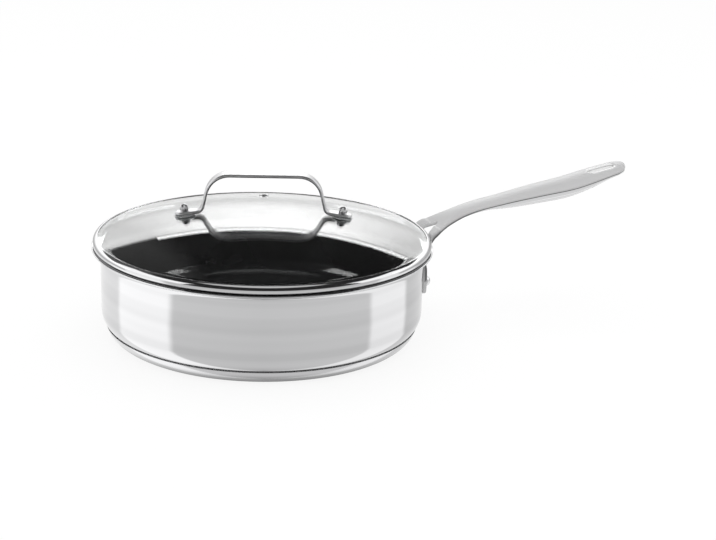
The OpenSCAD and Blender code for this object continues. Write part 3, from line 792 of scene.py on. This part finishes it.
# %% Clear silicone rings
def silicone():
    soft, tree, shader = blank("clear_silicone")
    cloud = put(tree, "TexNoise", {"Vector": put(tree, "TexCoord", out=3), "Scale": 250, "Detail": 2})
    feed(tree, shader, {"Transmission Weight": 0.85, "IOR": 1.41,
                        "Base Color": colours(tree, cloud, (0.82, 0.84, 0.84, 1), (0.9, 0.92, 0.92, 1)),
                        "Roughness": stretch(tree, cloud, 0, 1, 0.18, 0.3)})
    return soft


soft_finish = silicone()
for name, low in (("upper_gaskets", 0.02), ("lower_gaskets", -4.46)):
    fitting(name, "lid_" + name, 72,
            [(2.5, low), (7.9, low), (7.9, low + 0.3, 90), (8.2, low + 0.67), (7.9, low + 0.67, 90),
             (2.5, low + 0.97), (2.5, low)], soft_finish)

# %% [markdown]
# ## Long handle
# The handle is one thick plate: a flange riveted to the wall, two arms that pass round the
# lip, and a grip that swells and ends in a round tip with a slot to hang it by. The arms
# leave an open fork between them. Three tables hold its curves, each as a share of the grip's
# length and a value there: how high its edge rises over the lip in mm, its half width in mm,
# and how full its belly is.

# %% Curves of the grip
LIP, GRIP = 135.0, 179.5
LIP_HEIGHT = 73.2
RISE = [(0.016, 3.29), (0.112, 12.5), (0.225, 19.82), (0.393, 26.1), (0.561, 31.77), (0.724, 36.85),
        (0.877, 44.07), (0.958, 47.8), (1, 49.2)]
WIDTH = [(0.016, 20.4), (0.087, 15.07), (0.167, 12.2), (0.275, 12.6), (0.407, 13.4), (0.535, 15.8), (0.7, 18),
         (0.808, 17.6), (0.875, 16.6), (0.919, 15.6), (1, 14.2)]
BELLY = [(0.17, 0.02), (0.26, 0.2), (0.42, 0.72), (0.56, 0.94), (0.67, 1), (0.8, 0.86), (0.88, 0.55),
         (0.94, 0.3), (1, 0.18)]
TIP_FROM, TIP_RUN, TIP_HALF = 0.919, 0.081, 15.6


def grip_edge(radius):
    return LIP_HEIGHT + smooth(RISE, (radius - LIP) / GRIP)


def crown(x, y):
    """The grip is arched across: its middle stands higher than its edges."""
    half = smooth(WIDTH, (x - LIP) / GRIP)
    return ease((x - 146) / 26) * (half * half - y * y) / 76


def grip_thick(radius):
    return 3.4 - 1.4 * ease(((radius - LIP) / GRIP - 0.1) / 0.2)


def grip_half(x):
    share = (x - LIP) / GRIP
    if share <= TIP_FROM:
        return smooth(WIDTH, share)
    return TIP_HALF * math.sqrt(max(1 - ((share - TIP_FROM) / TIP_RUN) ** 2.6, 0))


print("grip edge at 200 mm:", round(grip_edge(200), 1), "mm; half width", round(grip_half(200), 1), "mm")

# %% [markdown]
# ## Arms and holes of the handle
# Seen from the side, the arms are two lines: the face that looks at the pan, and the face
# that looks away from it. The gap between the arms starts with two round corners at the top
# of the flange, runs straight up, and closes along slanted sides to a round end in the grip.
# The hanging slot is straight with round ends. Each hole can be asked for its half width at a
# place, and for a point's distance from its edge, so that its edges can be rounded.

# %% Arms and holes
ARM_IN = [(128, 52), (128, 57), (128.05, 61.4), (129.5, 65.4), (132, 68.4), (134.5, 70.2), (135.8, 72.2),
          (136.4, 74.4), (137.9, 76.6), (140.4, 78.65), (143, 80.3)]
ARM_OUT = [(131.4, 52), (131.4, 56), (131.4, 59.6), (133, 63.8), (135.2, 66.8), (137.4, 69.3), (139.1, 71.5),
           (140.4, 73.2), (142.0, 74.6), (143.4, 75.7), (145.2, 76.9)]
ARM_END = len(ARM_IN) - 1
SLOT_AT, SLOT_RUN, SLOT_R = 294, 6.7, 4.8
GAP_LOW, GAP_CORNER, GAP_CORNER_AT, GAP_FOOT, GAP_HALF = 54, 4, 58, 8.2, 12.2
GAP_SLANT, GAP_ROUND_AT, GAP_ROUND, GAP_END = 133, 144.4, 3, 147.4
SLANT_ALONG, SLANT_ACROSS, SLANT_SLOPE, SLANT_ANGLE = 0.5974, 0.8017, 0.7452, math.radians(53.3)


def on_arm(line, k):
    """A smooth line through the arm's points, read at a fractional index."""
    i = min(int(k), len(line) - 2)
    pts = [Vector(line[min(max(i + d, 0), len(line) - 1)]) for d in (-1, 0, 1, 2)]
    t = k - i
    return 0.5 * (2 * pts[1] + (pts[2] - pts[0]) * t + (2 * pts[0] - 5 * pts[1] + 4 * pts[2] - pts[3]) * t * t
                  + (3 * pts[1] - pts[0] - 3 * pts[2] + pts[3]) * t ** 3)


def slot_half(x):
    if abs(x - SLOT_AT) >= SLOT_RUN + SLOT_R:
        return 0
    return math.sqrt(max(SLOT_R ** 2 - max(abs(x - SLOT_AT) - SLOT_RUN, 0) ** 2, 0))


def gap_half(x):
    if x > GAP_END:
        return 0
    if x > 146.5:
        return math.sqrt(max(GAP_ROUND ** 2 - (x - GAP_ROUND_AT) ** 2, 0))
    return GAP_HALF - (x - GAP_SLANT) * SLANT_SLOPE


def hole_depth(kind, at, y):
    """How far a point of the plate is from the edge of the gap or of the slot."""
    y = abs(y)
    if kind == "flange":
        if at < GAP_LOW:
            return math.hypot(GAP_LOW - at, max(y - GAP_FOOT, 0))
        if y < GAP_FOOT:
            return GAP_LOW - at
        if at < GAP_CORNER_AT:
            return math.hypot(y - GAP_FOOT, GAP_CORNER_AT - at) - GAP_CORNER
        return y - GAP_HALF
    if kind == "grip" and at > SLOT_FROM:
        return math.hypot(max(abs(at - SLOT_AT) - SLOT_RUN, 0), y) - SLOT_R
    if math.atan2(y, at - GAP_ROUND_AT) < SLANT_ANGLE:
        return math.hypot(at - GAP_ROUND_AT, y) - GAP_ROUND
    if at > GAP_SLANT:
        return (at - GAP_SLANT) * SLANT_ALONG + (y - GAP_HALF) * SLANT_ACROSS
    return y - GAP_HALF


print("arm ends at", [round(v, 1) for v in on_arm(ARM_IN, ARM_END)], "mm")

# %% [markdown]
# ## Rows of the plate
# The rows of the strip follow the wall up, pass the lip and run out along the grip. They
# stand close together where the outline turns quickly: at the flange's corners, at the ends
# of the gap and the slot, and at the tip.

# %% Rows of the plate
EDGE, SLOT_RIM = 0.8, 4.5
FLANGE_LOW, FLANGE_HIGH, FLANGE_ROUND, FLANGE_ROUND_AT = 42, 47.2, 9, 33.78
ARM_STEP = 3.2                          # mm along the arm from one of its points to the next
PLATE_ROWS = []                         # (station, hole's half width, half width, kind, where)


def flange_half(z):
    """The flange ends in a half round at each side, then narrows upwards to the arms."""
    if FLANGE_LOW <= z <= FLANGE_HIGH:
        return FLANGE_ROUND_AT + FLANGE_ROUND
    if z <= 55.15:
        past = FLANGE_LOW - z if z < FLANGE_LOW else z - FLANGE_HIGH
        return FLANGE_ROUND_AT + math.sqrt(max(FLANGE_ROUND ** 2 - past ** 2, 0))
    return smooth([(55.15, 38.0), (57.8, 24.6), (60.2, 21.7), (61.6, 21.6)], min(z, 61.6))


for z in (33, 33.12, 33.5, 34.2, 35.3, 36.9, 39, 42, 44.6, 47.2, 49.5, 51.5, 53, 53.98):
    PLATE_ROWS.append((z, 0, flange_half(z), "flange", z))
for z in (54, 54.25, 54.8, 55.4, 56.2, 57, 58):
    corner = math.sqrt(max(GAP_CORNER ** 2 - (GAP_CORNER_AT - z) ** 2, 0))
    PLATE_ROWS.append((z + 0.01, GAP_FOOT + corner, flange_half(z), "flange", z))
for k in range(9, 51):
    k = k / 5
    at = on_arm(ARM_IN, k)
    if at.y < 58.5:
        continue
    half = flange_half(at.y) + (grip_half(max(at.x, 140)) - flange_half(at.y)) * ease((at.x - 130) / 8)
    PLATE_ROWS.append((58 + (k - 1.2) * ARM_STEP, gap_half(max(at.x, GAP_SLANT)), half, "arm", k))
start = PLATE_ROWS[-1][0] - on_arm(ARM_IN, ARM_END).x
GAP_ROWS = [144, 145, 145.8, 146.5, 146.9, 147.2, 147.36, 147.4, 147.6, 147.9, 148.4, 149.4, 151, 153, 156]
SLOT_ROWS = [282.46, 282.5, 282.6, 282.85, 283.3, 284, 285, 286.2, 287.3, 290.5, 294, 297.5, 300.7, 301.8,
             303, 304, 304.7, 305.15, 305.4, 305.5, 305.54]
TIP_ROWS = [305.9, 306.5, 307.4, 308.6, 310, 311.2, 312.2, 313, 313.6, 314, 314.3, 314.45, 314.5]
grip_rows = GAP_ROWS + [160 + 5 * k for k in range(24)] + [278, 279.5, 280.6, 281.5, 282.1]
for x in grip_rows + SLOT_ROWS + TIP_ROWS:
    PLATE_ROWS.append((start + x, gap_half(x) if x < 150 else slot_half(x), grip_half(x), "grip", x))
print("plate rows:", len(PLATE_ROWS))

# %% [markdown]
# ## Plate bent to shape
# A point of the flat strip finds its place between two faces: on the flange they are upright,
# on the arms they are the two lines, and on the grip they follow the curves, arched across.
# Just behind the arms the grip's underside blends from the arm's line into its own curve.

# %% Plate bent to shape
WHERE = {round(r[0], 4): (r[3], r[4]) for r in PLATE_ROWS}
ARM_TOP = 143                           # where the arm's lines end and the grip's curves begin


def plate_point(station, y, under, depth):
    kind, at = WHERE[round(station, 4)]
    if kind == "flange":
        near, far = Vector((128, at)), Vector((131.4, at))
        depth = min(depth, hole_depth(kind, at, y))
    elif kind == "arm":
        near, far = on_arm(ARM_IN, at), on_arm(ARM_OUT, at)
        depth = min(depth, hole_depth(kind, near.x, y))
    else:
        radius = math.hypot(at, y)
        near = Vector((radius, grip_edge(radius)))
        far = near - Vector((0, grip_thick(radius)))
        if at < 152:
            blend = (152 - at) / 9
            onward = Vector((at - ARM_TOP, grip_edge(at) - grip_edge(ARM_TOP)))
            far = far.lerp(on_arm(ARM_OUT, ARM_END) + onward, max(blend, 0) * 0.9)
        depth = min(depth, hole_depth(kind, at, y))
    drop = sink(depth, EDGE)
    if kind == "grip" and at > SLOT_FROM and not under:
        drop = max(drop, 0.25 * sink(min(hole_depth(kind, at, y), SLOT_RIM), SLOT_RIM))
    through = (far - near).normalized() * drop
    spot = far - through if under else near + through
    if kind == "grip":
        return Vector((at + spot.x - math.hypot(at, y), y, spot.y + crown(at, y)))
    return Vector((math.sqrt(spot.x ** 2 - y * y), y, spot.y))


# %% [markdown]
# ## Handle finish
# The grip is brushed so matt that it hardly mirrors the room. The two values of the strip
# lay painted shade, a dark line, along its lower edge and a painted highlight along the edges of its holes.

# %% Plate
# A near-black painted shade for the lower edge, and a pale painted highlight for the edges of the holes.
PAINTED_EDGE_SHADE, PAINTED_GLINT = (0.03, 0.03, 0.03, 1), (0.92, 0.92, 0.92, 1)


def paint_edges(metal, marks):
    """Lays a colour over the steel wherever a value of the strip asks for it."""
    tree = metal.node_tree
    shader = tree.nodes["Principled BSDF"]
    shade = shader.inputs["Base Color"].links[0].from_socket
    for name, colour in marks.items():
        shade = colours(tree, put(tree, "Attribute", out=2, attribute_name=name), shade, colour)
    feed(tree, shader, {"Base Color": shade})
    return tree, shader


grip_finish = steel("grip_steel", (0.55, 0.55, 0.553), 0.36, 0.05, (14, 2600, 1), relief=0.05, follow="UV",
                    drawn=0.5)
tree, shader = paint_edges(grip_finish, {"seam": PAINTED_EDGE_SHADE, "hole_glint": PAINTED_GLINT})
feed(tree, shader, {"Metallic": 0.12, "Specular IOR Level": 0.2})
plate = strip_piece([r[:3] for r in PLATE_ROWS], EDGE, plate_point, SLOT_RIM)
finish_piece("handle_plate", plate, grip_finish, "pan", "handle_fork", sharp=45)

# %% [markdown]
# ## Handle belly
# Under the grip a second, thinner sheet is pressed into a shallow trough and joined to the
# plate, so that the grip fills the hand. It is the same kind of strip: its upper face follows
# the plate's underside, and its lower face bulges. The slot goes through both.

# %% Belly
BELLY_DEEP = 8.8


def belly_half(x):
    return max(grip_half(x) - 0.8, 0.4)


def belly_point(station, y, under, depth):
    radius = math.hypot(station, y)
    top = grip_edge(radius) - grip_thick(radius)
    if not under:
        return Vector((station, y, top + crown(station, y) + 0.02))
    bulge = math.sqrt(max(1 - (y / belly_half(station)) ** 2, 0)) ** 0.8
    return Vector((station, y, top - 0.25 - BELLY_DEEP * smooth(BELLY, (station - LIP) / GRIP) * bulge))


belly_rows = [169.1, 169.5, 170.3, 172] + [175 + 5 * k for k in range(21)] + [278, 281] + SLOT_ROWS
belly_rows += [306.5, 308, 309.5, 310.6, 311.3, 311.8]
belly_finish = steel("belly_steel", (0.74, 0.74, 0.746), 0.12, 0.03, (14, 1800, 1), relief=0.01, follow="UV")
# Painted highlight: round the slot the belly turns pale and loses its metal, so its walls look brightly lit.
tree, shader = paint_edges(belly_finish, {"hole_glint": PAINTED_GLINT})
slot_glint = put(tree, "Attribute", out=2, attribute_name="hole_glint")
feed(tree, shader, {"Metallic": maths(tree, "SUBTRACT", 1, slot_glint)})
belly = strip_piece([(x, slot_half(x), belly_half(x)) for x in belly_rows], 0.5, belly_point)
finish_piece("handle_belly_sheet", belly, belly_finish, "pan", "handle_belly", sharp=50)

# %% [markdown]
# ## Rivets
# Two rivets hold the flange. Outside they have a domed head, and inside a flat one with a
# soft edge, which shows through the glass as a bright spot.

# %% Rivets
def on_wall(turn):
    """A place on the pan's axis, 44 mm up, with its Z pointing out through the wall."""
    return (Matrix.Rotation(math.radians(turn), 4, "Z") @ Matrix.Translation((0, 0, 44 * MM))
            @ Matrix.Rotation(math.radians(90), 4, "Y"))


rivet = lathe([(0, 125.0), (4.2, 125.0), (4.2, 125.6, 90), (4.8, 126.3), (2.4, 126.5), (2.4, 131.4),
               (4.1, 131.4), (4.1, 131.65, 75), (0, 129.818, 68), (0, 134.4)], 64)
rivets = copies(rivet, [on_wall(-16), on_wall(16)])
finish_piece("wall_rivets", rivets, small_finish, "pan", "handle_rivets")
